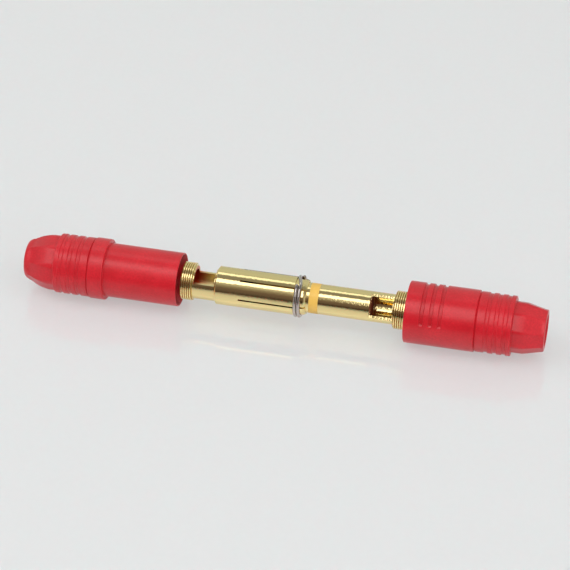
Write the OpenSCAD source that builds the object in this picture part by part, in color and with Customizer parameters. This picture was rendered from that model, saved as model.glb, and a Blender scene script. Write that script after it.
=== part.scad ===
// Bullet connector pair for thick wire, with its screw-on housings drawn back along the wires.
// Every piece lies on one axis along X, over the surface that the housings lie on.
// The socket side is towards -X and the plug side towards +X.

/* [Plug contact] */
// Diameter of the plug's barrel
plug_d = 7; // [6:0.1:8]
// Length of the plug's barrel
barrel_len = 11.7; // [10:0.1:15]
// Length of the plug's neck, which the soldering window opens
plug_neck_len = 5.7; // [4:0.1:8]
// Wall of the plug's solder cup
plug_cup_wall = 0.4; // [0.3:0.05:0.9]
// Depth of the plug's soldering window, below the neck's surface
plug_window_depth = 1.3; // [1:0.1:2.5]
// Direction that the plug's window faces, above the horizontal
plug_window_dir = 42; // [0:1:180]

/* [Tip] */
// Length of the tip, from the insulating ring to its rounded nose
tip_len = 3.4; // [2.5:0.1:5]
// Length of the tip that shows between the socket and the ring
tip_exposed = 0.7; // [0.3:0.1:1.2]
// Radius of the tip's rounded nose
tip_round = 1.6; // [0.8:0.1:2]
// Length of the insulating ring
ring_len = 2.1; // [1.2:0.1:3]
// Diameter of the tip's stem inside the insulating bush
stem_d = 2.6; // [2:0.1:3]
// Wall of the insulating bush round the stem
bush_wall = 0.85; // [0.6:0.05:1]
// Length of the insulating bush inside the barrel
bush_len = 2.6; // [1.5:0.1:3.5]

/* [Resistor] */
// Diameter of the resistor's body
resistor_d = 2.4; // [1.6:0.1:3]
// Length of the resistor's body
resistor_len = 4.2; // [3:0.1:5]
// Diameter of the resistor's leads
lead_d = 0.6; // [0.4:0.05:0.8]
// Length of each lead inside its hole
lead_seat = 1.2; // [0.8:0.1:1.5]
// Bare length of each lead between the body and its hole
lead_bare = 0.7; // [0.4:0.1:1]

/* [Socket contact] */
// Wall of the slotted sleeve
socket_wall = 0.92; // [0.8:0.02:1.3]
// Length of the slotted sleeve, from its shoulder to the mouth
socket_sleeve_len = 21.2; // [20:0.1:26]
// Length of the socket's neck, which the soldering window opens
socket_neck_len = 5.3; // [4:0.1:8]
// Wall of the socket's solder cup
socket_cup_wall = 0.75; // [0.6:0.05:1.4]
// Depth of the socket's soldering window, below the neck's surface
socket_window_depth = 2.7; // [1.5:0.1:3]
// Direction that the socket's window faces, above the horizontal
socket_window_dir = 104; // [0:1:180]
// Number of slots round the sleeve
slot_count = 6; // [4:2:8]
// Width of each slot
slot_w = 0.42; // [0.3:0.02:0.6]
// Distance that the slots stop short of the bore's bottom
slot_inset = 1.7; // [0.5:0.1:4]
// Length of the lip between the spring ring's groove and the mouth
lip_len = 1.1; // [0.8:0.1:2]
// Thickness of the lip's edge at the mouth
lip_edge = 0.32; // [0.25:0.01:0.4]

/* [Spring ring] */
// Thickness of the spring ring's wire
wire_d = 0.8; // [0.6:0.02:0.9]
// Depth of the ring's groove in the sleeve
groove_depth = 0.36; // [0.25:0.01:0.45]

/* [Both contacts] */
// Length of the thread on each contact
thread_len = 2.8; // [2.4:0.1:4]
// Height of the threaded ring over the socket's neck
thread_height = 0.55; // [0.5:0.05:0.8]
// Pitch of the thread
thread_pitch = 0.5; // [0.4:0.05:0.8]
// Depth of the thread
thread_depth = 0.27; // [0.2:0.01:0.35]
// Length of whole wall at each end of a soldering window
window_inset = 0.2; // [0.1:0.05:0.6]
// Length of solid neck between each solder cup's floor and the wider part
cup_floor = 0.35; // [0.3:0.05:0.6]

/* [Socket housing] */
// Length of the socket housing
socket_housing_len = 36.8; // [36:0.1:42]
// Length of its narrow sleeve, from the shoulder to the mouth
sleeve_len = 17.35; // [15:0.05:18]
// Wall of the narrow sleeve
sleeve_wall = 1.12; // [0.9:0.02:1.5]
// Length of its nose
socket_nose_len = 7.65; // [7:0.05:9]
// Length of the tapered end of its nose
socket_cone_len = 6.15; // [5:0.05:6.4]
// Swell of the nose's taper over a straight cone
socket_nose_swell = 0.32; // [0.1:0.02:0.4]
// Rounding of the nose's end
socket_nose_round = 1.2; // [0.4:0.05:1.4]
// Wall of its nose round the thread
socket_nose_wall = 2.05; // [1.6:0.05:2.15]
// Direction that one flat of its nose faces, above the horizontal
socket_flat_dir = 10; // [0:1:60]

/* [Plug housing] */
// Length of the plug housing
plug_housing_len = 31.7; // [30:0.1:36]
// Wall of its mouth
mouth_wall = 0.75; // [0.65:0.05:1.2]
// Length of its nose
plug_nose_len = 7.35; // [6.4:0.05:8]
// Length of the cone at the end of its nose
plug_cone_len = 4.75; // [3:0.05:5.5]
// Rounding of the nose's end
plug_nose_round = 0.45; // [0.2:0.05:0.8]
// Wall of its nose round the thread
plug_nose_wall = 1.5; // [1.25:0.05:1.9]
// Direction that one flat of its nose faces, above the horizontal
plug_flat_dir = 46; // [0:1:60]
// Distance from its mouth to the first grip groove
grip_start = 4; // [2:0.05:5]
// Spacing of the grip grooves near its mouth
grip_pitch = 2.1; // [1.5:0.05:2.6]
// Number of grip grooves
grip_count = 3; // [1:1:4]
// Width of each grip groove
grip_w = 0.9; // [0.5:0.05:1.1]
// Depth of each grip groove
grip_depth = 0.35; // [0.2:0.05:0.45]
// Arc of each grip groove over the top of the housing, in degrees
grip_arc = 150; // [60:1:180]

/* [Both housings] */
// Ledge inside the nose that the threaded tail seats on
seat_ledge = 0.7; // [0.4:0.05:0.9]
// Wall of the nose at its end
nose_end_wall = 1.25; // [0.9:0.05:1.4]
// Number of flats round the nose
flat_count = 9; // [6:1:9]
// Depth of each flat
flat_depth = 0.24; // [0.1:0.02:0.26]
// Distance from the nose to the middle of the first rib groove
rib_start = 1.55; // [1.3:0.05:1.9]
// Spacing of the rib grooves
rib_pitch = 2.05; // [1.8:0.05:2.1]
// Number of rib grooves
rib_count = 3; // [2:1:3]
// Width of each rib groove
rib_groove_w = 1.05; // [0.6:0.05:1.2]
// Length of each sloping side of a rib groove
rib_side = 0.18; // [0.05:0.01:0.25]
// Depth of each rib groove below the ribs
rib_groove_depth = 0.22; // [0.1:0.02:0.26]
// Drop from the body to the ribs
rib_drop = 0.19; // [0.05:0.01:0.22]
// Distance from the nose to the line where the body begins
line_start = 8.15; // [7.6:0.05:8.6]
// Width of that line's groove
line_w = 0.45; // [0.3:0.05:0.6]
// Bevel on the housings' edges
edge_bevel = 0.25; // [0.1:0.05:0.35]

/* [Fits] */
// Radial gap of the plug in the socket
plug_gap = 0.03; // [0.02:0.01:0.08]
// Radial gap of the pieces inside the plug
inner_gap = 0.02; // [0.01:0.01:0.05]
// Radial gap of a threaded tail in its housing
thread_gap = 0.05; // [0.03:0.01:0.1]
// Radial gap of the plug's tail on its way through the plug housing
tail_gap = 0.3; // [0.2:0.05:0.5]
// Radial gap of the spring ring in the socket housing
ring_gap = 0.21; // [0.15:0.01:0.5]
// Radial gap of the socket housing's sleeve in the plug housing's mouth
sleeve_gap = 0.1; // [0.05:0.01:0.3]
// Gap that is left between faces that meet when the connector is closed
face_gap = 0.3; // [0.2:0.05:0.5]
// Distance of the socket's mouth inside its housing when it is screwed in
mouth_recess = 0.6; // [0.3:0.1:1.5]
// Gap between the socket's tail and its drawn-back housing
socket_tail_out = 0.5; // [0.2:0.05:1.5]
// Gap between the plug's tail and its drawn-back housing
plug_tail_out = 0.1; // [0.1:0.05:1.5]

/* [Hidden] */
$fn = 96;

gold = "#d8b24a";
steel = "#b9b9b6";
red_nylon = "#c8282c";
yellow_plastic = "#f0c455";
brown_enamel = "#b58a5a";

// Diameters, built outwards from the plug's barrel
cup_d = plug_d - 2 * plug_cup_wall;
socket_bore_d = plug_d + 2 * plug_gap;
socket_d = socket_bore_d + 2 * socket_wall;
socket_neck_d = cup_d + 2 * socket_cup_wall;
groove_d = socket_d - 2 * groove_depth;
lip_d = groove_d + groove_depth;
lip_end_d = socket_bore_d + 2 * lip_edge;
coil_mid_r = groove_d / 2 + inner_gap + wire_d / 2;
coil_d = 2 * coil_mid_r + wire_d;
thread_d = socket_neck_d + 2 * thread_height;
thread_bore_d = thread_d + 2 * thread_gap;
tail_pass_d = thread_d + 2 * tail_gap;
cable_hole_d = thread_d - 2 * seat_ledge;
socket_housing_bore_d = coil_d + 2 * ring_gap;
sleeve_d = socket_housing_bore_d + 2 * sleeve_wall;
plug_mouth_d = sleeve_d + 2 * sleeve_gap;
body_d = plug_mouth_d + 2 * mouth_wall;
rib_d = body_d - 2 * rib_drop;
nose_end_d = cable_hole_d + 2 * nose_end_wall;
bush_d = stem_d + 2 * inner_gap + 2 * bush_wall;
bush_bore_d = bush_d + 2 * inner_gap;
lead_hole_d = lead_d + 2 * inner_gap;

// Lengths along the axis
coil_pitch = wire_d + inner_gap;
groove_w = coil_pitch + wire_d + 2 * inner_gap;
socket_len = thread_len + socket_neck_len + socket_sleeve_len;
plug_reach = barrel_len + ring_len + tip_len;
socket_bore_depth = plug_reach;
slot_len = socket_bore_depth - slot_inset;
socket_seat_z = socket_housing_len - socket_len - mouth_recess;
plug_root_depth = sleeve_len - mouth_recess;
plug_seat_z = plug_housing_len - plug_root_depth - plug_neck_len - thread_len;
plug_mouth_depth = sleeve_len;
resistor_start = bush_len + lead_bare;
resistor_end = resistor_start + resistor_len + lead_bare;

// Places along X, from the socket housing's nose to the plug housing's nose
plug_show = tip_exposed + ring_len + barrel_len + plug_neck_len + thread_len;
housings_len = socket_housing_len + plug_housing_len;
total_len = housings_len + socket_len + plug_show + socket_tail_out + plug_tail_out;
socket_housing_x = -total_len / 2;
socket_x = socket_housing_x + socket_housing_len + socket_tail_out;
socket_mouth_x = socket_x + socket_len;
barrel_x = socket_mouth_x + tip_exposed + ring_len;
plug_tail_x = barrel_x + barrel_len + plug_neck_len + thread_len;
plug_housing_x = total_len / 2;
axis_z = body_d / 2;

// Overlap that keeps a cut clear of the face it goes through
cut = 0.5;
// Distance that each bend of a nose's flats lies past the bend of its round
flat_lead = 0.3;
// Steps along a swelling taper
taper_steps = 4;
// Steps round a rounded edge
arc_steps = 6;
// Where a thread ridge's foot and crest begin, as shares of the pitch
ridge_foot = 0.1;
ridge_crest = 0.45;
// Sides of the spring ring's wire and steps along it
coil_sides = 10;
coil_steps = 96;
// Degrees where the wire starts, how far it runs, and where it crosses to its second turn
coil_start = 195;
coil_turn = 670;
coil_cross_from = 310;
coil_cross_to = 365;

// Stands a shape that was drawn along Z on the axis, pointing towards +X
module towards_plug(x) translate([x, 0, axis_z]) rotate([0, 90, 0]) children();

// The same, pointing towards -X
module towards_socket(x) translate([x, 0, axis_z]) rotate([0, -90, 0]) children();

// Turns +Z to face a direction above the horizontal on the -Y side
module facing(x, above) translate([x, 0, axis_z]) rotate([90 - above, 0, 0]) children();

module bore(d, from, to) translate([0, 0, from]) cylinder(d = d, h = to - from);

// Points of an arc in a radius and length outline
function arc(c, r, a0, a1) = [
    for (i = [0 : arc_steps]) let (a = a0 + (a1 - a0) * i / arc_steps) c + r * [cos(a), sin(a)]
];

// Outline of a threaded ring from z0 to z1, with one blunt ridge for each pitch
function thread_outline(z0, z1) = let (
    root_r = thread_d / 2 - thread_depth,
    turns = floor((z1 - z0) / thread_pitch),
    first = (z0 + z1 - turns * thread_pitch) / 2
) concat([[root_r, z0]], [
    for (i = [0 : turns - 1]) let (z = first + i * thread_pitch) each [
        [root_r, z + thread_pitch * ridge_foot], [thread_d / 2, z + thread_pitch * ridge_crest],
        [thread_d / 2, z + thread_pitch * (1 - ridge_crest)], [root_r, z + thread_pitch * (1 - ridge_foot)]
    ]
], [[root_r, z1]]);

// Opens the neck to the solder cup, flat across
module window(x, neck_d, neck_len, depth, above)
    facing(x + window_inset, above)
        translate([0, -neck_d, neck_d / 2 - depth])
            cube([neck_len - 2 * window_inset, 2 * neck_d, neck_d]);

module socket_contact() color(gold) difference() {
    neck_z = thread_len;
    sleeve_z = thread_len + socket_neck_len;
    groove_end = socket_len - lip_len;
    towards_plug(socket_x) difference() {
        rotate_extrude() polygon(concat(
            [[0, 0]],
            thread_outline(0, thread_len),
            [
                [socket_neck_d / 2, neck_z], [socket_neck_d / 2, sleeve_z],
                [socket_d / 2 - edge_bevel, sleeve_z], [socket_d / 2, sleeve_z + edge_bevel],
                [socket_d / 2, groove_end - groove_w], [groove_d / 2, groove_end - groove_w],
                [groove_d / 2, groove_end], [lip_d / 2, groove_end],
                [lip_end_d / 2, socket_len], [0, socket_len]
            ]
        ));
        bore(cup_d, -cut, sleeve_z - cup_floor);
        bore(socket_bore_d, socket_len - socket_bore_depth, socket_len + cut);
    }
    window(socket_x + neck_z, socket_neck_d, socket_neck_len, socket_window_depth, socket_window_dir);
    for (i = [0 : slot_count / 2 - 1])
        facing(socket_mouth_x - slot_len, 360 * i / slot_count)
            translate([0, -slot_w / 2, -socket_d])
                cube([slot_len + cut, slot_w, 2 * socket_d]);
}

// Centre line of the spring ring: two flat turns side by side, with one short crossing between them
function coil_point(t) = let (
    a = coil_start + t,
    s = min(1, max(0, (t - coil_cross_from) / (coil_cross_to - coil_cross_from))),
    z = coil_pitch * s * s * (3 - 2 * s)
) [coil_mid_r * cos(a), coil_mid_r * sin(a), z];

function coil_ring(t) = let (p = coil_point(t), a = coil_start + t) [
    for (k = [0 : coil_sides - 1]) let (b = 360 * k / coil_sides)
        p + wire_d / 2 * [cos(b) * cos(a), cos(b) * sin(a), sin(b)]
];

module spring_ring() color(steel) {
    rings = [for (i = [0 : coil_steps]) coil_ring(coil_turn * i / coil_steps)];
    points = [for (r = rings) for (p = r) p];
    last = coil_steps * coil_sides;
    sides = [
        for (i = [0 : coil_steps - 1], k = [0 : coil_sides - 1])
            let (n = (k + 1) % coil_sides, a = i * coil_sides, b = a + coil_sides)
                [a + k, b + k, b + n, a + n]
    ];
    ends = [
        [for (k = [0 : coil_sides - 1]) k],
        [for (k = [coil_sides - 1 : -1 : 0]) last + k]
    ];
    towards_plug(socket_mouth_x - lip_len - groove_w + inner_gap + wire_d / 2)
        polyhedron(points = points, faces = concat(sides, ends));
}

module plug_contact() color(gold) difference() {
    neck_z = barrel_len;
    tail_z = barrel_len + plug_neck_len;
    tail_end = tail_z + thread_len;
    towards_plug(barrel_x) difference() {
        rotate_extrude() polygon(concat(
            [[0, 0], [plug_d / 2, 0], [plug_d / 2, tail_z]],
            thread_outline(tail_z, tail_end),
            [[0, tail_end]]
        ));
        bore(cup_d, neck_z + cup_floor, tail_end + cut);
        bore(bush_bore_d, -cut, resistor_end);
        bore(lead_hole_d, 0, resistor_end + lead_seat);
    }
    window(barrel_x + neck_z, plug_d, plug_neck_len, plug_window_depth, plug_window_dir);
}

// Ring between the tip and the barrel, with a bush that lines the barrel's bore
module insulating_ring() color(yellow_plastic) towards_plug(barrel_x - ring_len) difference() {
    union() {
        cylinder(d = plug_d, h = ring_len);
        cylinder(d = bush_d, h = ring_len + bush_len);
    }
    bore(stem_d + 2 * inner_gap, -cut, ring_len + bush_len + cut);
}

module plug_tip() color(gold) towards_socket(barrel_x - ring_len) difference() {
    rotate_extrude() polygon(concat(
        [[0, -ring_len - bush_len], [stem_d / 2, -ring_len - bush_len], [stem_d / 2, 0], [plug_d / 2, 0]],
        arc([plug_d / 2 - tip_round, tip_len - tip_round], tip_round, 0, 90),
        [[0, tip_len]]
    ));
    bore(lead_hole_d, -ring_len - bush_len - cut, -ring_len - bush_len + lead_seat);
}

// Charging resistor between the tip's stem and the barrel
module resistor() color(brown_enamel) towards_plug(barrel_x) {
    bore(resistor_d, resistor_start, resistor_start + resistor_len);
    bore(lead_d, bush_len - lead_seat + inner_gap, resistor_end + lead_seat - inner_gap);
}

// Outline of a housing from the flange next to its nose, over its ribs, to the line where the body begins
function rib_outline(nose_len) = let (
    r = rib_d / 2,
    low = r - rib_groove_depth,
    line_z = nose_len + line_start
) concat(
    [[0, nose_len], [r - edge_bevel, nose_len], [r, nose_len + edge_bevel]],
    [
        for (i = [0 : rib_count - 1])
            let (z = nose_len + rib_start + i * rib_pitch, half = rib_groove_w / 2)
                each [[r, z - half], [low, z - half + rib_side], [low, z + half - rib_side], [r, z + half]]
    ],
    [[r, line_z - line_w / 2], [low, line_z], [body_d / 2, line_z + line_w / 2]]
);

// Outline of a nose's taper, from its rounded end to its straight part
function taper(cone_len, neck_d, round, swell, drop, lead) = let (
    end_r = nose_end_d / 2,
    steps = swell > 0 ? taper_steps : 1
) [
    for (i = [0 : steps]) let (t = i / steps) [
        end_r + (neck_d / 2 - end_r) * t + 4 * swell * t * (1 - t) - drop,
        round + (cone_len - round) * t + lead
    ]
];

// Nose with a tapered end, a straight part and flats all round, which runs a little way into the flange
module nose(nose_len, cone_len, neck_d, round, swell, turn) difference() {
    end_r = nose_end_d / 2;
    root_z = nose_len + cut;
    rotate_extrude() polygon(concat(
        [[0, 0]],
        arc([end_r - round, round], round, -90, -90 / arc_steps),
        taper(cone_len, neck_d, round, swell, 0, 0),
        [[neck_d / 2, root_z], [0, root_z]]
    ));
    for (i = [0 : flat_count - 1])
        rotate([0, 0, turn + 360 * i / flat_count])
            rotate([90, 0, 0])
                linear_extrude(height = neck_d, center = true)
                    polygon(concat(
                        [[end_r - flat_depth, -cut]],
                        taper(cone_len, neck_d, round, swell, flat_depth, flat_lead),
                        [[neck_d / 2 - flat_depth, root_z + cut], [neck_d, root_z + cut], [neck_d, -cut]]
                    ));
}

module socket_housing() color(red_nylon) towards_plug(socket_housing_x) {
    neck_d = thread_bore_d + 2 * socket_nose_wall;
    shoulder_z = socket_housing_len - sleeve_len;
    difference() {
        union() {
            nose(
                socket_nose_len, socket_cone_len, neck_d,
                socket_nose_round, socket_nose_swell, -90 - socket_flat_dir
            );
            rotate_extrude() polygon(concat(
                rib_outline(socket_nose_len),
                [
                    [body_d / 2, shoulder_z - edge_bevel], [body_d / 2 - edge_bevel, shoulder_z],
                    [sleeve_d / 2, shoulder_z], [sleeve_d / 2, socket_housing_len - edge_bevel],
                    [sleeve_d / 2 - edge_bevel, socket_housing_len], [0, socket_housing_len]
                ]
            ));
        }
        bore(cable_hole_d, -cut, socket_housing_len);
        bore(thread_bore_d, socket_seat_z, socket_housing_len);
        bore(socket_housing_bore_d, socket_seat_z + thread_len, socket_housing_len + cut);
    }
}

module plug_housing() color(red_nylon) towards_socket(plug_housing_x) {
    neck_d = thread_bore_d + 2 * plug_nose_wall;
    difference() {
        union() {
            nose(plug_nose_len, plug_cone_len, neck_d, plug_nose_round, 0, plug_flat_dir - 90);
            rotate_extrude() polygon(concat(
                rib_outline(plug_nose_len),
                [
                    [body_d / 2, plug_housing_len - edge_bevel],
                    [body_d / 2 - edge_bevel, plug_housing_len], [0, plug_housing_len]
                ]
            ));
        }
        for (i = [0 : grip_count - 1])
            translate([0, 0, plug_housing_len - grip_start - i * grip_pitch])
                rotate_extrude(angle = grip_arc, start = -grip_arc / 2)
                    translate([body_d / 2 - grip_depth, -grip_w / 2]) square([body_d, grip_w]);
        bore(cable_hole_d, -cut, plug_housing_len);
        bore(thread_bore_d, plug_seat_z, plug_housing_len);
        bore(tail_pass_d, plug_seat_z + thread_len, plug_housing_len);
        bore(plug_mouth_d, plug_housing_len - plug_mouth_depth, plug_housing_len + cut);
    }
}

socket_contact();
spring_ring();
socket_housing();
plug_contact();
insulating_ring();
plug_tip();
resistor();
plug_housing();
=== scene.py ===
# %% [markdown]
# # A bullet connector for thick wire
# Two gold-plated contacts lie nose to nose between two red housings that have been drawn back along the
# axis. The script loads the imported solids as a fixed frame, gives each piece its finish, and makes the
# pieces whose soft edges, thread or wound wire are easier to draw here than in a solid modeller.

# %% Load the frame
import math

import bmesh
import bpy
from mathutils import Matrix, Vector


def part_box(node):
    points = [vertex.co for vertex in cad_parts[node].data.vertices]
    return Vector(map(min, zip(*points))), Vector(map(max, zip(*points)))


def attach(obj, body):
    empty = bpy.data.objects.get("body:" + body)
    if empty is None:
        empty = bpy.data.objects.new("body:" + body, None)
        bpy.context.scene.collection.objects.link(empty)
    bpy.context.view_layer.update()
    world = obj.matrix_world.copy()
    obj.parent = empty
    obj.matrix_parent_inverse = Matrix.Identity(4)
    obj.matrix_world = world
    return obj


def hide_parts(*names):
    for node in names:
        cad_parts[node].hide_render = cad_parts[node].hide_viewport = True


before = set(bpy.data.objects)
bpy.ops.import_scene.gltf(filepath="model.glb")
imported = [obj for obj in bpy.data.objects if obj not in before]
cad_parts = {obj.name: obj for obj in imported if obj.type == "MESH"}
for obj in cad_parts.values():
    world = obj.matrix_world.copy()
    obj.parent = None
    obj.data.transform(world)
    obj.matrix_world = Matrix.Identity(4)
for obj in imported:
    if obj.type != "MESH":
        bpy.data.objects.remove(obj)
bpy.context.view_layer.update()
MM = 0.001
print("nodes:", sorted(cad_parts))

# %% [markdown]
# ## One axis for every piece
# All the pieces are turned or moulded round one axis along X. Its height is half the socket housing's
# height, because that housing lies on the floor. Points are easiest to give as a place along X, a radius,
# and an angle above the horizontal on the side that faces the camera, so one helper turns those three into
# a position.

# %% The common axis
housing_low, housing_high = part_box("socket_housing")
AXIS_HEIGHT = (housing_low.z + housing_high.z) / 2


def on_axis(x_mm, radius_mm, degrees):
    angle = math.radians(degrees)
    return Vector((
        x_mm * MM,
        -radius_mm * MM * math.cos(angle),
        AXIS_HEIGHT + radius_mm * MM * math.sin(angle),
    ))


print("axis height in mm:", round(AXIS_HEIGHT / MM, 3))

# %% [markdown]
# ## The camera
# The photograph was taken from about 0.6 m with a long lens, looking down at 39 degrees, and a little from
# the plug's side, which makes that end larger. A camera can be aimed with a constraint or by building its
# rotation: here a tracking quaternion turns it once, so nothing is left that could move it later.

# %% Place the camera
CAMERA_DISTANCE = 580.9 * MM
CAMERA_ELEVATION = 39.0
CAMERA_AZIMUTH = 12.476
CAMERA_TARGET = Vector((0.465 * MM, 0, AXIS_HEIGHT + 2.679 * MM))
CAMERA_LENS, SENSOR_WIDTH = 160.67, 36


def aim(azimuth, elevation):
    a, e = math.radians(azimuth), math.radians(elevation)
    return Vector((math.sin(a) * math.cos(e), -math.cos(a) * math.cos(e), math.sin(e)))


towards_camera = aim(CAMERA_AZIMUTH, CAMERA_ELEVATION)
camera = bpy.data.objects.new("camera", bpy.data.cameras.new("camera"))
camera.data.sensor_width = SENSOR_WIDTH
camera.data.lens = CAMERA_LENS
camera.location = CAMERA_TARGET + towards_camera * CAMERA_DISTANCE
camera.rotation_mode = "QUATERNION"
camera.rotation_quaternion = (-towards_camera).to_track_quat("-Z", "Y")
bpy.context.scene.collection.objects.link(camera)
bpy.context.scene.camera = camera
bpy.context.scene.view_settings.view_transform = "Standard"
print("camera at mm:", [round(v / MM, 1) for v in camera.location])

# %% [markdown]
# ## Colours and nodes
# Colours are written as the sRGB hex values that a paint chart or a picture editor shows. Shaders work in
# linear light, so one function converts them. A second small function adds a shader node, sets it up and
# links it. The rest are the few nodes that every material here is made of, which keeps each material below
# as short as its list of ingredients.

# %% Helpers for materials


def linear(hex_colour):
    channels = [int(hex_colour[i:i + 2], 16) / 255 for i in (1, 3, 5)]
    return [c / 12.92 if c <= 0.04045 else ((c + 0.055) / 1.055) ** 2.4 for c in channels] + [1.0]


def set_up(tree, node, values=None, links=None):
    for socket, value in (values or {}).items():
        node.inputs[socket].default_value = value
    for socket, source in (links or {}).items():
        tree.links.new(source, node.inputs[socket])
    return node


def add(tree, kind, values=None, links=None, **settings):
    node = tree.nodes.new(kind)
    for name, value in settings.items():
        setattr(node, name, value)
    return set_up(tree, node, values, links)


def new_material(name):
    material = bpy.data.materials.new(name)
    material.use_nodes = True
    tree = material.node_tree
    place = add(tree, "ShaderNodeTexCoord").outputs["Object"]
    return material, tree, tree.nodes["Principled BSDF"], place


def noise(tree, place, size_mm, detail):
    values = {"Scale": 1 / (size_mm * MM), "Detail": detail}
    return add(tree, "ShaderNodeTexNoise", values, {"Vector": place}).outputs["Fac"]


def between(tree, value, low, high):
    values = {"To Min": low, "To Max": high}
    return add(tree, "ShaderNodeMapRange", values, {"Value": value}).outputs["Result"]


def share_of(tree, value, start, end):
    values = {"From Min": start, "From Max": end}
    return add(tree, "ShaderNodeMapRange", values, {"Value": value}).outputs["Result"]


def two_colours(tree, value, first, last, start=0.0, end=1.0):
    ramp = add(tree, "ShaderNodeValToRGB", links={"Fac": value})
    for stop, position, colour in zip(ramp.color_ramp.elements, (start, end), (first, last)):
        stop.position = position
        stop.color = linear(colour)
    return ramp.outputs["Color"]


def bump(tree, height, strength, depth_mm):
    values = {"Strength": strength, "Distance": depth_mm * MM}
    return add(tree, "ShaderNodeBump", values, {"Height": height}).outputs["Normal"]


def maths(tree, operation, first, second):
    return add(tree, "ShaderNodeMath", links={0: first, 1: second}, operation=operation).outputs["Value"]


print("mid grey in linear light:", round(linear("#808080")[0], 3))

# %% [markdown]
# ## Moulded nylon
# The housings are injection-moulded from red nylon. The mould leaves a satin skin: a fine, even grain about
# half a millimetre across, with faint flow marks that change the gloss over several millimetres. Grain and
# flow marks together mottle the red a little. Nylon's refractive index is 1.53. The grain could be a
# displaced mesh, but it is far finer than the mesh, so it is bump.

# %% Red moulded nylon
GRAIN_MM, GRAIN_DEPTH_MM = 0.45, 0.04
FLOW_MM = 6.0

red_nylon, tree, shader, place = new_material("red moulded nylon, satin")
grain = noise(tree, place, GRAIN_MM, 2.0)
flow = noise(tree, place, FLOW_MM, 3.0)
mottle = maths(tree, "MULTIPLY", flow, grain)
set_up(tree, shader, {"IOR": 1.53}, {
    "Base Color": two_colours(tree, mottle, "#bb1320", "#d21d2b", 0.1, 0.4),
    "Roughness": between(tree, flow, 0.27, 0.35),
    "Normal": bump(tree, grain, 0.5, GRAIN_DEPTH_MM),
})
print("made", red_nylon.name)

# %% [markdown]
# ## Gold plate
# The contacts are turned from brass and plated with gold. The plate is bright, but it copies the faint
# waviness that the lathe and the tumbling drum leave, so long reflections waver a little. One function
# makes the plate, and it looks different in three places. Inside the socket's drilled cup the bath hardly
# polishes, so the wall is dull, and towards the open end it is painted red-brown, a painted reflection of the
# red housing. In the roots of the thread the colour turns brown. The floor of the plug's cup is painted a
# dark red-brown, as painted shade with the housing's red in it. Bare metal turns white when it is seen at a
# flat angle, so that painted floor is matt and not metallic.

# %% Gold plate over turned brass
WAVE_MM, WAVE_DEPTH_MM = 0.5, 0.018
BLOTCH_MM = 4.0
GOLD = "#f7e1a2"
THREAD_ROOT, THREAD_CREST = 4.13, 4.4
PAINTED_RED_FROM_MM, PAINTED_RED_REACH_MM = 2.6, 2.6


def gold_finish(name, rough_low, rough_high, wave):
    material, tree, shader, place = new_material(name)
    waves = noise(tree, place, WAVE_MM, 2.0)
    blotch = noise(tree, place, BLOTCH_MM, 2.0)
    set_up(tree, shader, {"Base Color": linear(GOLD), "Metallic": 1.0}, {
        "Roughness": between(tree, blotch, rough_low, rough_high),
        "Normal": bump(tree, waves, wave, WAVE_DEPTH_MM),
    })
    return material, tree, shader, place


def darken_roots(tree, shader, place, root_colour):
    centre = {1: (0, 1, 1), 2: (0, 0, -AXIS_HEIGHT)}
    across = add(tree, "ShaderNodeVectorMath", centre, {0: place}, operation="MULTIPLY_ADD")
    radius = add(tree, "ShaderNodeVectorMath", links={0: across.outputs["Vector"]}, operation="LENGTH")
    height = share_of(tree, radius.outputs["Value"], THREAD_ROOT * MM, THREAD_CREST * MM)
    set_up(tree, shader, links={"Base Color": two_colours(tree, height, root_colour, GOLD, 0.3, 0.7)})


def paint_red_reflection_along(tree, shader, place, start, reach, painted_colour):
    along = add(tree, "ShaderNodeSeparateXYZ", links={"Vector": place})
    share = share_of(tree, along.outputs["X"], start, start + reach)
    set_up(tree, shader, links={"Base Color": two_colours(tree, share, painted_colour, GOLD)})


gold_plate = gold_finish("gold plate over turned brass", 0.05, 0.11, 0.9)[0]
drilled_gold_painted_red, tree, shader, place = gold_finish("gold plate in a drilled cup, dull", 0.3, 0.4, 0.8)
# Towards the open end of the socket's cup the gold is painted red-brown: a painted reflection of the red
# housing.
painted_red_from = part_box("socket_contact")[0].x + PAINTED_RED_FROM_MM * MM
paint_red_reflection_along(tree, shader, place, painted_red_from, PAINTED_RED_REACH_MM * MM, "#d8693a")
thread_gold, tree, shader, place = gold_finish(
    "gold plate on a cut thread, brown in the roots", 0.12, 0.2, 0.3
)
darken_roots(tree, shader, place, "#d0ac62")
# The plug's cup floor is a matt dark red-brown: painted shade, with a painted red reflection of the housing.
painted_shade_cup_floor, tree, shader, place = gold_finish(
    "drilled cup floor, matt, painted dark red shade", 0.6, 0.8, 0.8
)
set_up(tree, shader, {"Base Color": linear("#78301e"), "Metallic": 0.0, "Specular IOR Level": 0.15})
print("made", gold_plate.name, "and its dull, threaded and painted-shade kinds")

# %% [markdown]
# ## Spring wire
# The ring round the socket is drawn from hard steel wire. Drawing polishes the wire, so it is bright, and
# its gloss changes a little every third of a millimetre.

# %% Drawn spring steel
POLISH_MM = 0.3

spring_steel, tree, shader, place = new_material("drawn spring steel wire")
polish = noise(tree, place, POLISH_MM, 2.0)
set_up(tree, shader, {"Base Color": linear("#c6bdb7"), "Metallic": 1.0}, {
    "Roughness": between(tree, polish, 0.05, 0.1),
})
print("made", spring_steel.name)

# %% [markdown]
# ## Yellow insulating plastic and the resistor's lacquer
# The ring that keeps the tip apart from the barrel is turned from a yellow plastic rod and has a satin
# skin. The resistor inside the barrel has a pale brown lacquer. Neither needs more than a slow change of
# colour and gloss.

# %% Yellow plastic and brown lacquer
SKIN_DEPTH_MM = 0.02


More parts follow.
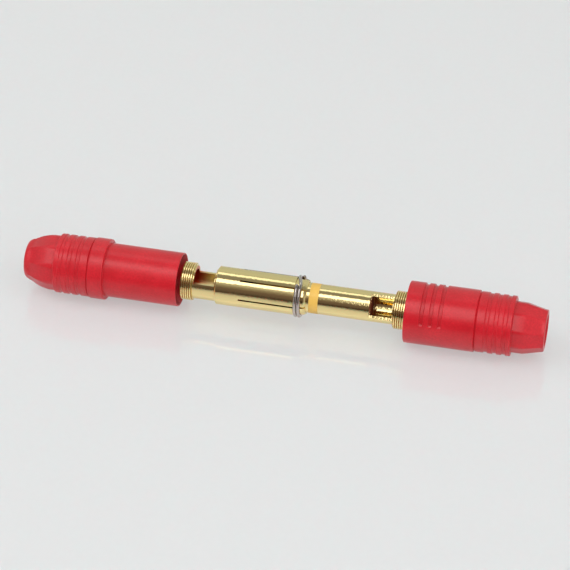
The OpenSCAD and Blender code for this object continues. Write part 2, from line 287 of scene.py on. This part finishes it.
def satin(name, dark, light, rough_low, rough_high, grain_mm, ior):
    material, tree, shader, place = new_material(name)
    skin = noise(tree, place, grain_mm, 3.0)
    set_up(tree, shader, {"IOR": ior}, {
        "Base Color": two_colours(tree, skin, dark, light),
        "Roughness": between(tree, skin, rough_low, rough_high),
        "Normal": bump(tree, skin, 0.1, SKIN_DEPTH_MM),
    })
    return material


yellow_plastic = satin("yellow turned polyamide", "#e6b34c", "#f2c765", 0.35, 0.5, 0.8, 1.53)
resistor_lacquer = satin("brown baked lacquer", "#a07850", "#c09a6c", 0.3, 0.45, 0.5, 1.5)
print("made", yellow_plastic.name, "and", resistor_lacquer.name)

# %% [markdown]
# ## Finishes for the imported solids
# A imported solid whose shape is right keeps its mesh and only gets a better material. The object's single
# material slot is filled again, so nothing about the mesh changes.

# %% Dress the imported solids
finishes = {
    "socket_contact": gold_plate,
    "plug_contact": gold_plate,
    "plug_tip": gold_plate,
    "spring_ring": spring_steel,
    "insulating_ring": yellow_plastic,
    "resistor": resistor_lacquer,
    "socket_housing": red_nylon,
    "plug_housing": red_nylon,
}
for node, material in finishes.items():
    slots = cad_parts[node].data.materials
    slots.clear()
    slots.append(material)
print("dressed", len(finishes), "solids")

# %% [markdown]
# ## Turned and moulded rounds
# A lathe shape is an outline, given as corners in length and radius, carried round the axis. No moulded
# edge is sharp, and the rounded edges catch the light, so each corner brings the reach of its rounding. A
# short flat step on both sides of every rounding holds the smooth shading to the edge instead of letting it
# bleed over the faces.

# %% Make rounds from outlines
ROUND_SHARE = 0.4
SUPPORT_REACH, SUPPORT_SHARE = 1.4, 0.48
WELD = 1e-7


def soften(corners, steps=5):
    points = []
    for i, (z, r, reach) in enumerate(corners):
        here = Vector((z, r))
        if reach == 0:
            points.append(here)
            continue
        sides = []
        for z_side, r_side, _ in (corners[i - 1], corners[(i + 1) % len(corners)]):
            side = Vector((z_side, r_side)) - here
            near = min(reach, ROUND_SHARE * side.length)
            far = min(SUPPORT_REACH * reach, SUPPORT_SHARE * side.length)
            sides.append((here + near * side.normalized(), here + far * side.normalized()))
        (before, support_before), (after, support_after) = sides
        points.append(support_before)
        for step in range(steps + 1):
            t = step / steps
            points.append(before * (1 - t) ** 2 + here * 2 * t * (1 - t) + after * t ** 2)
        points.append(support_after)
    return points


def round_mesh(name, outline, first_degrees, segments, shape=None, closed=True):
    verts, faces = [], []
    for k in range(segments):
        degrees = first_degrees + 360 * k / segments
        for x, r in outline:
            verts.append(on_axis(x, shape(x, r, degrees) if shape else r, degrees))
    n = len(outline)
    for k in range(segments):
        a, b = k * n, (k + 1) % segments * n
        for i in range(n if closed else n - 1):
            j = (i + 1) % n
            faces.append((a + i, a + j, b + j, b + i))
    mesh = bpy.data.meshes.new(name)
    mesh.from_pydata(verts, [], faces)
    work = bmesh.new()
    work.from_mesh(mesh)
    bmesh.ops.remove_doubles(work, verts=work.verts, dist=WELD)
    bmesh.ops.recalc_face_normals(work, faces=work.faces)
    for face in work.faces:
        face.smooth = True
    work.to_mesh(mesh)
    work.free()
    return mesh


def replace_piece(node, body, mesh, material):
    piece = bpy.data.objects.new(node + "_dressed", mesh)
    if not mesh.materials:
        mesh.materials.append(material)
    bpy.context.scene.collection.objects.link(piece)
    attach(piece, body)
    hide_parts(node)
    print(piece.name, "has", len(mesh.polygons), "faces")


print("a softened square has", len(soften([(0, 0, 1), (4, 0, 1), (4, 4, 1), (0, 4, 1)])), "points")

# %% [markdown]
# ## The housings
# Each housing is one moulding: a nose with nine flats, a flange with three grooves, a fine line where the
# body begins, and a bore from the mouth. The flats are drawn by holding the radius down to a plane, with a
# soft blend where two flats meet, which is how a worn mould edge looks. Both housings share these sizes, in
# millimetres from the end of the nose.

# %% What both housings share
BODY_R, RIB_R, GROOVE_R = 7.09, 6.9, 6.68
HOLE_R, THREAD_R, END_R = 3.7, 4.45, 4.95
THREAD_LEN = 2.8
OUTSIDE_R = THREAD_R + 0.05
RIB_GROOVES, RIB_FIRST, RIB_STEP = 3, 1.55, 2.05
RIB_TOP_HALF, RIB_FLOOR_HALF, RIB_EDGE = 0.525, 0.345, 0.07
SEAM_AT, SEAM_HALF, SEAM_EDGE = 8.15, 0.225, 0.06
FLATS, FLAT_DEPTH, FLAT_LEAD = 9, 0.24, 0.3
FLAT_BLEND, BLEND_DROP, FLAT_FADE = 0.06, 0.015, 0.3
TAPER_STEPS = 10
SEGMENTS = 216


def taper_radius(z, nose):
    t = min(max((z - nose["round"]) / (nose["cone"] - nose["round"]), 0), 1)
    return END_R + (nose["neck_r"] - END_R) * t + 4 * nose["swell"] * t * (1 - t)


def nose_corners(nose):
    corners = [(0, HOLE_R, 0)] + [(z, END_R - drop, 0) for z, drop in nose["cap"]]
    for i in range(TAPER_STEPS + 1):
        z = nose["round"] + (nose["cone"] - nose["round"]) * i / TAPER_STEPS
        corners.append((z, taper_radius(z, nose), 0))
    return corners + [(nose["len"], nose["neck_r"], 0.12), (nose["len"], RIB_R, 0.22)]


def rib_corners(nose_len):
    corners = []
    for i in range(RIB_GROOVES):
        z = nose_len + RIB_FIRST + RIB_STEP * i
        corners += [
            (z - RIB_TOP_HALF, RIB_R, RIB_EDGE), (z - RIB_FLOOR_HALF, GROOVE_R, RIB_EDGE),
            (z + RIB_FLOOR_HALF, GROOVE_R, RIB_EDGE), (z + RIB_TOP_HALF, RIB_R, RIB_EDGE),
        ]
    z = nose_len + SEAM_AT
    return corners + [
        (z - SEAM_HALF, RIB_R, SEAM_EDGE), (z, GROOVE_R, SEAM_EDGE), (z + SEAM_HALF, BODY_R, SEAM_EDGE),
    ]


def flatten(z, r, degrees, nose):
    round_r = taper_radius(z, nose)
    step = 360 / FLATS
    off = (degrees - nose["flat_dir"] + step / 2) % step - step / 2
    flat_r = (taper_radius(z - FLAT_LEAD, nose) - FLAT_DEPTH) / math.cos(math.radians(off))
    base = min(r, round_r)
    blend = max(FLAT_BLEND - abs(base - flat_r), 0) / FLAT_BLEND
    held = min(base, flat_r) - blend * blend * BLEND_DROP
    return r - (base - held) * min(max(1 - (r - round_r) / FLAT_FADE, 0), 1)


print("flats turn the nose into", FLATS, "sides")

# %% [markdown]
# ## The socket's housing
# Its nose ends like a bullet, so the last millimetre is a cap: each pair is a place behind the end and how
# far the radius has dropped there. At the other end the narrow sleeve flares open inside, which lets light
# fall on the red wall of its mouth.

# %% The socket's housing
SOCKET_NOSE = {
    "len": 7.65, "cone": 6.15, "neck_r": 6.5, "round": 1.2, "swell": 0.32, "flat_dir": 10,
    "cap": ((0, 0.98), (0.02, 0.88), (0.07, 0.76), (0.2, 0.6), (0.45, 0.42), (0.8, 0.22)),
}
SLEEVE_R, SOCKET_BORE_R, SLEEVE_LEN, SOCKET_SEAT = 6.24, 5.12, 17.35, 6.9
FLARE_R, FLARE_DEPTH = 5.95, 2.2
socket_start, socket_end = housing_low.x / MM, housing_high.x / MM
socket_len = socket_end - socket_start

corners = nose_corners(SOCKET_NOSE) + rib_corners(SOCKET_NOSE["len"]) + [
    (socket_len - SLEEVE_LEN, BODY_R, 0.25), (socket_len - SLEEVE_LEN, SLEEVE_R, 0.12),
    (socket_len, SLEEVE_R, 0.25), (socket_len, FLARE_R, 0.1),
    (socket_len - FLARE_DEPTH, SOCKET_BORE_R, 0.5),
    (SOCKET_SEAT + THREAD_LEN, SOCKET_BORE_R, 0.1), (SOCKET_SEAT + THREAD_LEN, THREAD_R, 0.05),
    (SOCKET_SEAT, THREAD_R, 0.05), (SOCKET_SEAT, HOLE_R, 0.05),
]


def socket_shape(x, r, degrees):
    z = x - socket_start
    on_nose = z < SOCKET_NOSE["len"] and r > OUTSIDE_R
    return flatten(z, r, degrees, SOCKET_NOSE) if on_nose else r


outline = [(socket_start + z, r) for z, r in soften(corners)]
mesh = round_mesh("socket_housing", outline, SOCKET_NOSE["flat_dir"], SEGMENTS, socket_shape)
replace_piece("socket_housing", "socket_housing", mesh, red_nylon)

# %% [markdown]
# ## The plug's housing
# This one is measured from its nose at the other end of the row, so places along it count down from its
# high end. Three grip grooves stop short of the floor side, so their depth fades out over two degrees at
# each end.

# %% The plug's housing
PLUG_NOSE = {
    "len": 7.35, "cone": 4.75, "neck_r": 5.95, "round": 0.45, "swell": 0, "flat_dir": 46,
    "cap": ((0, 0.4), (0.03, 0.27), (0.1, 0.16), (0.22, 0.07)),
}
MOUTH_R, PASS_R, PLUG_SEAT = 6.34, 4.7, 6.45
GRIP_R, GRIP_FROM, GRIP_TO, GRIP_FADE = 6.74, 15, 165, 2
GRIP_FROM_MOUTH, GRIP_STEP = 4, 2.1
GRIP_TOP_HALF, GRIP_FLOOR_HALF, GRIP_REACH = 0.45, 0.4, 0.8
GRIP_INNER_R = MOUTH_R + 0.2
plug_low, plug_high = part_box("plug_housing")
plug_len = (plug_high.x - plug_low.x) / MM

corners = nose_corners(PLUG_NOSE) + rib_corners(PLUG_NOSE["len"])
grips = [plug_len - GRIP_FROM_MOUTH - GRIP_STEP * i for i in (2, 1, 0)]
for z in grips:
    corners += [
        (z - GRIP_TOP_HALF, BODY_R, 0.06), (z - GRIP_FLOOR_HALF, GRIP_R, 0.1),
        (z + GRIP_FLOOR_HALF, GRIP_R, 0.1), (z + GRIP_TOP_HALF, BODY_R, 0.06),
    ]
corners += [
    (plug_len, BODY_R, 0.25), (plug_len, MOUTH_R, 0.15),
    (plug_len - SLEEVE_LEN, MOUTH_R, 0.1), (plug_len - SLEEVE_LEN, PASS_R, 0.05),
    (PLUG_SEAT + THREAD_LEN, PASS_R, 0.05), (PLUG_SEAT + THREAD_LEN, THREAD_R, 0.05),
    (PLUG_SEAT, THREAD_R, 0.05), (PLUG_SEAT, HOLE_R, 0.05),
]


def plug_shape(x, r, degrees):
    z = plug_high.x / MM - x
    if z < PLUG_NOSE["len"] and r > OUTSIDE_R:
        return flatten(z, r, degrees, PLUG_NOSE)
    if r > GRIP_INNER_R and any(abs(z - grip) < GRIP_REACH for grip in grips):
        past = (degrees - GRIP_FROM) % 360
        t = min(max(min(past, GRIP_TO - GRIP_FROM - past) / GRIP_FADE, 0), 1)
        return BODY_R + (r - BODY_R) * t * t * (3 - 2 * t)
    return r


outline = [(plug_high.x / MM - z, r) for z, r in soften(corners)]
mesh = round_mesh("plug_housing", outline, PLUG_NOSE["flat_dir"], SEGMENTS, plug_shape)
replace_piece("plug_housing", "plug_housing", mesh, red_nylon)

# %% [markdown]
# ## The contacts
# Each contact is turned from bar: a tail with a fine thread, a neck with the solder cup, and the wide part.
# A real thread is a helix, so the tail's radius follows the angle as well as the length, with flanks that
# rise to a flat crest. The soldering windows and the slots are then milled out, which a boolean does as the
# cutter would: straight through, with sharp edges. Afterwards each face gets the gold of the place where it
# lies.

# %% Turn and mill
THREAD_PITCH, THREAD_FLANK, THREAD_RUNOUT, THREAD_POINTS = 0.5, 0.45, 0.2, 20
CUP_R, CUP_FLOOR, WINDOW_INSET = 3.1, 0.35, 0.2
TURNED_SEGMENTS, TURNED_STEPS = 180, 4
CUTTER_REACH, CUTTER_WIDTH = 9, 12
SHARP_DEGREES = 40
ROOT_SLACK, SKIN_SLACK, END_SLACK, END_RIM = 0.01, 0.02, 0.03, 0.3
PLATE, WALL, THREAD, END = range(4)


def thread_shape(first_x, last_x):
    def shape(x, r, degrees):
        if not first_x < x < last_x or r < THREAD_ROOT - ROOT_SLACK:
            return r
        ramp = min(1, (x - first_x) / THREAD_RUNOUT, (last_x - x) / THREAD_RUNOUT)
        from_root = abs((x / THREAD_PITCH - degrees / 360) % 1 - 0.5) * 2
        return THREAD_ROOT + (THREAD_CREST - THREAD_ROOT) * min(from_root / THREAD_FLANK, 1) * ramp
    return shape


def thread_corners(z0, z1):
    count = round((z1 - z0) / THREAD_PITCH * THREAD_POINTS)
    return [(z0 + (z1 - z0) * i / count, THREAD_ROOT, 0) for i in range(count + 1)]


def turn(name, corners, thread_from, thread_to):
    outline, shape = soften(corners, TURNED_STEPS), thread_shape(thread_from, thread_to)
    return round_mesh(name, outline, 0, TURNED_SEGMENTS, shape, closed=False)


def box_mesh(name, x0, x1, across, low, high, degrees):
    corners = []
    angle = math.radians(degrees)
    out = Vector((0, -math.cos(angle), math.sin(angle)))
    side = Vector((0, math.sin(angle), math.cos(angle)))
    for x in (x0, x1):
        for w in (-across / 2, across / 2):
            for h in (low, high):
                corners.append(Vector((x * MM, 0, AXIS_HEIGHT)) + side * w * MM + out * h * MM)
    mesh = bpy.data.meshes.new(name)
    mesh.from_pydata(corners, [], [
        (0, 1, 3, 2), (4, 6, 7, 5), (0, 4, 5, 1), (2, 3, 7, 6), (0, 2, 6, 4), (1, 5, 7, 3)
    ])
    work = bmesh.new()
    work.from_mesh(mesh)
    bmesh.ops.recalc_face_normals(work, faces=work.faces)
    work.to_mesh(mesh)
    work.free()
    return mesh


def window_cutter(x0, x1, low, degrees):
    return box_mesh("window", x0, x1, CUTTER_WIDTH, low, CUTTER_REACH, degrees)


def mill(mesh, cutters):
    scene = bpy.context.scene.collection
    blank = bpy.data.objects.new("blank", mesh)
    scene.objects.link(blank)
    tools = []
    for cutter in cutters:
        tool = bpy.data.objects.new("tool", cutter)
        scene.objects.link(tool)
        tools.append(tool)
        cut = blank.modifiers.new("cut", "BOOLEAN")
        cut.object, cut.operation, cut.solver = tool, "DIFFERENCE", "EXACT"
    view = bpy.context.evaluated_depsgraph_get()
    milled = bpy.data.meshes.new_from_object(blank.evaluated_get(view))
    for item in [blank] + tools:
        bpy.data.objects.remove(item)
    milled.shade_smooth()
    milled.set_sharp_from_angle(angle=math.radians(SHARP_DEGREES))
    return milled


def lies_between(x, a, b, slack=0.0):
    return min(a, b) - slack < x < max(a, b) + slack


def finish_contact(mesh, wall, end, floor_x, window_x, tail, thread):
    mesh.materials.clear()
    kinds = {PLATE: gold_plate, WALL: wall, THREAD: thread_gold, END: end}
    for kind in sorted(kinds):
        mesh.materials.append(kinds[kind])
    for face in mesh.polygons:
        x, radius = face.center.x / MM, math.hypot(face.center.y, face.center.z - AXIS_HEIGHT) / MM
        if lies_between(x, floor_x, window_x, END_SLACK) and radius < CUP_R + END_RIM:
            face.material_index = END
        elif lies_between(x, floor_x, tail) and radius < CUP_R + SKIN_SLACK:
            face.material_index = WALL
        elif lies_between(x, tail, thread) and radius > THREAD_ROOT - SKIN_SLACK:
            face.material_index = THREAD
    print(mesh.name, "faces in the cup's end:", sum(face.material_index == END for face in mesh.polygons))
    return mesh


print("thread of", THREAD_PITCH, "mm pitch")

# %% [markdown]
# ## The socket
# The socket's sleeve is bored out for the plug and split into six springy fingers by three slots, each cut
# right across. Near its mouth a groove holds the spring ring, and the lip beyond the groove is almost
# straight before it tapers to the mouth.

# %% The socket
NECK_R, SLEEVE_OUT_R, SLEEVE_BEVEL, BORE_R = 3.85, 4.45, 0.25, 3.53
LIP_R, LIP_END_R, LIP_END = 4.17, 4.12, 0.45
SOCKET_NECK, SOCKET_BORE, GROOVE_FROM, GROOVE_TO, GROOVE_FLOOR = 5.3, 17.2, 2.76, 1.1, 4.09
SLOT_LEN, SLOT_OVERRUN, SLOT_W, SLOTS = 15.5, 1, 0.42, 6
SOCKET_WINDOW_CUT, SOCKET_WINDOW_DIR = 2.7, 104
low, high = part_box("socket_contact")
tail, mouth = low.x / MM, high.x / MM
neck, sleeve = tail + THREAD_LEN, tail + THREAD_LEN + SOCKET_NECK
cup_end, window_from, window_to = sleeve - CUP_FLOOR, neck + WINDOW_INSET, sleeve - WINDOW_INSET

corners = [(cup_end, 0, 0), (cup_end, CUP_R, 0.05), (tail, CUP_R, 0.08)]
corners += thread_corners(tail, neck) + [
    (neck, NECK_R, 0.04), (sleeve, NECK_R, 0.04),
    (sleeve, SLEEVE_OUT_R - SLEEVE_BEVEL, 0.06), (sleeve + SLEEVE_BEVEL, SLEEVE_OUT_R, 0.08),
    (mouth - GROOVE_FROM, SLEEVE_OUT_R, 0.06), (mouth - GROOVE_FROM, GROOVE_FLOOR, 0.04),
    (mouth - GROOVE_TO, GROOVE_FLOOR, 0.04), (mouth - GROOVE_TO, LIP_R, 0.06),
    (mouth - LIP_END, LIP_END_R, 0.25), (mouth, NECK_R, 0.08), (mouth, BORE_R, 0.06),
    (mouth - SOCKET_BORE, BORE_R, 0.05), (mouth - SOCKET_BORE, 0, 0),
]
blank = turn("socket_contact", corners, tail, neck)
cutters = [window_cutter(window_from, window_to, NECK_R - SOCKET_WINDOW_CUT, SOCKET_WINDOW_DIR)]
for i in range(SLOTS // 2):
    cutters.append(box_mesh(
        "slot", mouth - SLOT_LEN, mouth + SLOT_OVERRUN, SLOT_W, -CUTTER_REACH, CUTTER_REACH, 360 * i / SLOTS
    ))
mesh = finish_contact(mill(blank, cutters), drilled_gold_painted_red, drilled_gold_painted_red, cup_end, window_to, tail, neck)
replace_piece("socket_contact", "socket", mesh, gold_plate)

# %% [markdown]
# ## The plug
# The plug's barrel is bored from the front for the insulating bush, and its solder cup is opened by one
# window on the side that faces the camera, through which the cup's floor shows, painted dark red-brown as
# shade.

# %% The plug
PLUG_R, BARREL_LEN, PLUG_NECK, BUSH_R, BUSH_DEPTH = 3.5, 11.7, 5.7, 2.19, 8.2
PLUG_WINDOW_CUT, PLUG_WINDOW_DIR = 1.3, 42
low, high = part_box("plug_contact")
front, tail = low.x / MM, high.x / MM
neck, thread = front + BARREL_LEN, front + BARREL_LEN + PLUG_NECK
cup_end, window_from, window_to = neck + CUP_FLOOR, neck + WINDOW_INSET, thread - WINDOW_INSET

corners = [(front + BUSH_DEPTH, 0, 0), (front + BUSH_DEPTH, BUSH_R, 0.05)]
corners += [(front, BUSH_R, 0.05), (front, PLUG_R, 0.08), (thread, PLUG_R, 0.04)]
corners += thread_corners(thread, tail) + [(tail, CUP_R, 0.08), (cup_end, CUP_R, 0.05), (cup_end, 0, 0)]
blank = turn("plug_contact", corners, thread, tail)
cutters = [window_cutter(window_from, window_to, PLUG_R - PLUG_WINDOW_CUT, PLUG_WINDOW_DIR)]
mesh = finish_contact(mill(blank, cutters), gold_plate, painted_shade_cup_floor, cup_end, window_from, tail, thread)
replace_piece("plug_contact", "plug", mesh, gold_plate)

# %% [markdown]
# ## The spring ring
# A round wire is wound twice round the socket, side by side, with one short crossing. Here the wire is
# swept as a tube along its centre line, with its ends rounded off as a cut and tumbled wire is.

# %% Wind the ring
WIRE_R, RING_R, RING_PITCH = 0.4, 4.51, 0.82
RING_TURN, CROSS_FROM, CROSS_TO, RING_FROM = 670, 310, 365, 75
TUBE_STEPS, TUBE_SIDES, TIP_SHARE = 300, 20, 0.02
first_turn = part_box("spring_ring")[0].x / MM + WIRE_R


def wire_point(turned):
    s = min(max((turned - CROSS_FROM) / (CROSS_TO - CROSS_FROM), 0), 1)
    return first_turn + RING_PITCH * s * s * (3 - 2 * s), RING_FROM - turned


verts, faces = [], []
cap = math.degrees(WIRE_R / RING_R)
for i in range(TUBE_STEPS + 1):
    turned = RING_TURN * i / TUBE_STEPS
    from_end = min(turned, RING_TURN - turned)
    radius = WIRE_R * math.sqrt(max(1 - (1 - min(from_end / cap, 1)) ** 2, TIP_SHARE))
    x, degrees = wire_point(turned)
    for k in range(TUBE_SIDES):
        b = 2 * math.pi * k / TUBE_SIDES
        verts.append(on_axis(x + radius * math.sin(b), RING_R + radius * math.cos(b), degrees))
for i in range(TUBE_STEPS):
    for k in range(TUBE_SIDES):
        a, n = i * TUBE_SIDES, (k + 1) % TUBE_SIDES
        faces.append((a + k, a + TUBE_SIDES + k, a + TUBE_SIDES + n, a + n))
faces.append(tuple(range(TUBE_SIDES)))
faces.append(tuple(TUBE_STEPS * TUBE_SIDES + k for k in reversed(range(TUBE_SIDES))))
mesh = bpy.data.meshes.new("spring_ring")
mesh.from_pydata(verts, [], faces)
mesh.shade_smooth()
replace_piece("spring_ring", "socket", mesh, spring_steel)

# %% [markdown]
# ## The floor
# The connector lies on a sheet of white opal acrylic, as many small things are photographed. Light enters
# the sheet and comes out again a few millimetres further on, and red light travels furthest, so the shadows
# are pale and warm. The plane has no thickness, so the subsurface method is the one that works on a bare
# surface. The polished skin mirrors a little of what stands on it. Part of the sheet's paleness is a plain
# glow that only the camera and mirrors see: Light Path picks those rays, so matt surfaces get no more light
# from it. The glow ends where the sheet is seen at a flat angle.

# %% Lay the floor
FLOOR_HALF = 3.0
CLOUD_MM = 1.5
SCATTER_MM = (8.0, 1.2, 1.6)
PALE_SHARE, SLANT_FROM, SLANT_TO = 0.5, 0.6, 0.9

floor_mesh = bpy.data.meshes.new("floor")
floor_mesh.from_pydata(
    [(x * FLOOR_HALF, y * FLOOR_HALF, 0) for x, y in ((-1, -1), (1, -1), (1, 1), (-1, 1))], [], [(0, 1, 2, 3)]
)
floor = bpy.data.objects.new("floor", floor_mesh)
bpy.context.scene.collection.objects.link(floor)
floor_sheet, tree, shader, place = new_material("white opal acrylic, polished")
cloud = noise(tree, place, CLOUD_MM, 3.0)
shader.subsurface_method = "BURLEY"
set_up(tree, shader, {
    "Subsurface Weight": 1.0, "Subsurface Radius": SCATTER_MM, "Subsurface Scale": MM,
    "Roughness": 0.08, "IOR": 1.5, "Coat Weight": 1.0, "Coat IOR": 2.0, "Coat Roughness": 0.06,
}, {"Base Color": two_colours(tree, cloud, "#dfe1e3", "#e5e7e9")})

ray = add(tree, "ShaderNodeLightPath").outputs
seen = maths(tree, "ADD", ray["Is Camera Ray"], ray["Is Glossy Ray"])
seen = maths(tree, "MAXIMUM", seen, ray["Is Transmission Ray"])
slant = add(tree, "ShaderNodeLayerWeight", {"Blend": 0.5}).outputs["Facing"]
fade = {"From Min": SLANT_FROM, "From Max": SLANT_TO, "To Min": PALE_SHARE, "To Max": 0.0}
glow = add(tree, "ShaderNodeMapRange", fade, {"Value": slant}).outputs["Result"]
pale = add(tree, "ShaderNodeEmission", {"Color": linear("#e4e4e4"), "Strength": 1.0}).outputs["Emission"]
share = maths(tree, "MULTIPLY", glow, seen)
mix = add(tree, "ShaderNodeMixShader", links={0: share, 1: shader.outputs["BSDF"], 2: pale})
set_up(tree, tree.nodes["Material Output"], links={"Surface": mix.outputs["Shader"]})
floor_mesh.materials.append(floor_sheet)
print("floor is", 2 * FLOOR_HALF, "m wide")

# %% [markdown]
# ## Soft light
# The photograph was lit by large soft sources. Three lamps here show in the gold's reflections: a softbox
# above the camera, a narrow strip behind, and a short one on the camera's side. Five more stand at both
# sides, low at the front corners, and low beyond the plug's end. They are kept out of mirror reflections,
# so they fill the shadow under the housings and throw their red on the sheet without more streaks. All are
# area lamps, whose power is worked out from the brightness that a mirror would show. Lengths are in metres.

# %% Hang the lamps


def soft_lamp(name, direction, distance, along, length, width, radiance, mirrored=True):
    lamp = bpy.data.lights.new(name, "AREA")
    lamp.shape = "RECTANGLE"
    lamp.size, lamp.size_y = length, width
    lamp.energy = radiance * math.pi * width * length
    holder = bpy.data.objects.new(name, lamp)
    holder.location = direction * distance + Vector((along, 0, 0))
    holder.rotation_mode = "QUATERNION"
    holder.rotation_quaternion = direction.to_track_quat("Z", "Y")
    holder.visible_camera = False
    holder.visible_glossy = mirrored
    bpy.context.scene.collection.objects.link(holder)
    print(name, "of", round(lamp.energy, 2), "W")


soft_lamp("front softbox", aim(0, 67.5), 0.8, -0.22, 0.64, 0.297, 1.8)
soft_lamp("back strip", aim(180, 67), 0.8, -0.63, 1.14, 0.2, 0.9)
soft_lamp("camera side", aim(0, 46), 0.8, 0.035, 0.21, 0.3, 2.1)
soft_lamp("left side", aim(-80, 50), 1.1, 0, 0.6, 0.8, 1.85, mirrored=False)
soft_lamp("right side", aim(80, 50), 1.1, 0, 0.6, 0.8, 1.8, mirrored=False)
soft_lamp("left low", aim(-48, 15), 0.9, 0, 0.9, 0.45, 1.55, mirrored=False)
soft_lamp("right low", aim(48, 15), 0.9, 0, 0.9, 0.45, 2.0, mirrored=False)
soft_lamp("right end", aim(82, 18), 0.9, 0, 0.5, 0.4, 1.2, mirrored=False)

# %% [markdown]
# ## The room
# Behind the camera the room is dark, which is the dark band along the gold. Higher up it grows pale, dims
# again straight above, and the wall behind the table is pale. A world whose shade depends only on how far
# back one looks gives all of it, from 0 at the front to 1 at the back.

# %% The room from front to back
room = bpy.data.worlds.new("room")
room.use_nodes = True
bpy.context.scene.world = room
tree = room.node_tree
tree.nodes.clear()
direction = add(tree, "ShaderNodeTexCoord").outputs["Generated"]
parts = add(tree, "ShaderNodeSeparateXYZ", links={"Vector": direction})
depth = share_of(tree, parts.outputs["Y"], -1.0, 1.0)
shade = add(tree, "ShaderNodeValToRGB", links={"Fac": depth})
stops = shade.color_ramp.elements
stops[0].color = linear("#362e2c")
stops[1].color = linear("#bfc4bf")
for position, colour in (
    (0.02, "#675a56"), (0.0565, "#6f615d"), (0.13, "#958e86"), (0.18, "#bcbab7"), (0.23, "#c4c2bf"),
    (0.3, "#a09e9c"), (0.42, "#8e8c8b"), (0.56, "#8e8c8b"), (0.62, "#959995"), (0.7, "#b3b8b3"),
    (0.8, "#c4c9c4"), (0.9, "#c8cec8"),
):
    stops.new(position).color = linear(colour)
light = add(tree, "ShaderNodeBackground", {"Strength": 1.0}, {"Color": shade.outputs["Color"]})
add(tree, "ShaderNodeOutputWorld", links={"Surface": light.outputs["Background"]})
print("made the room")
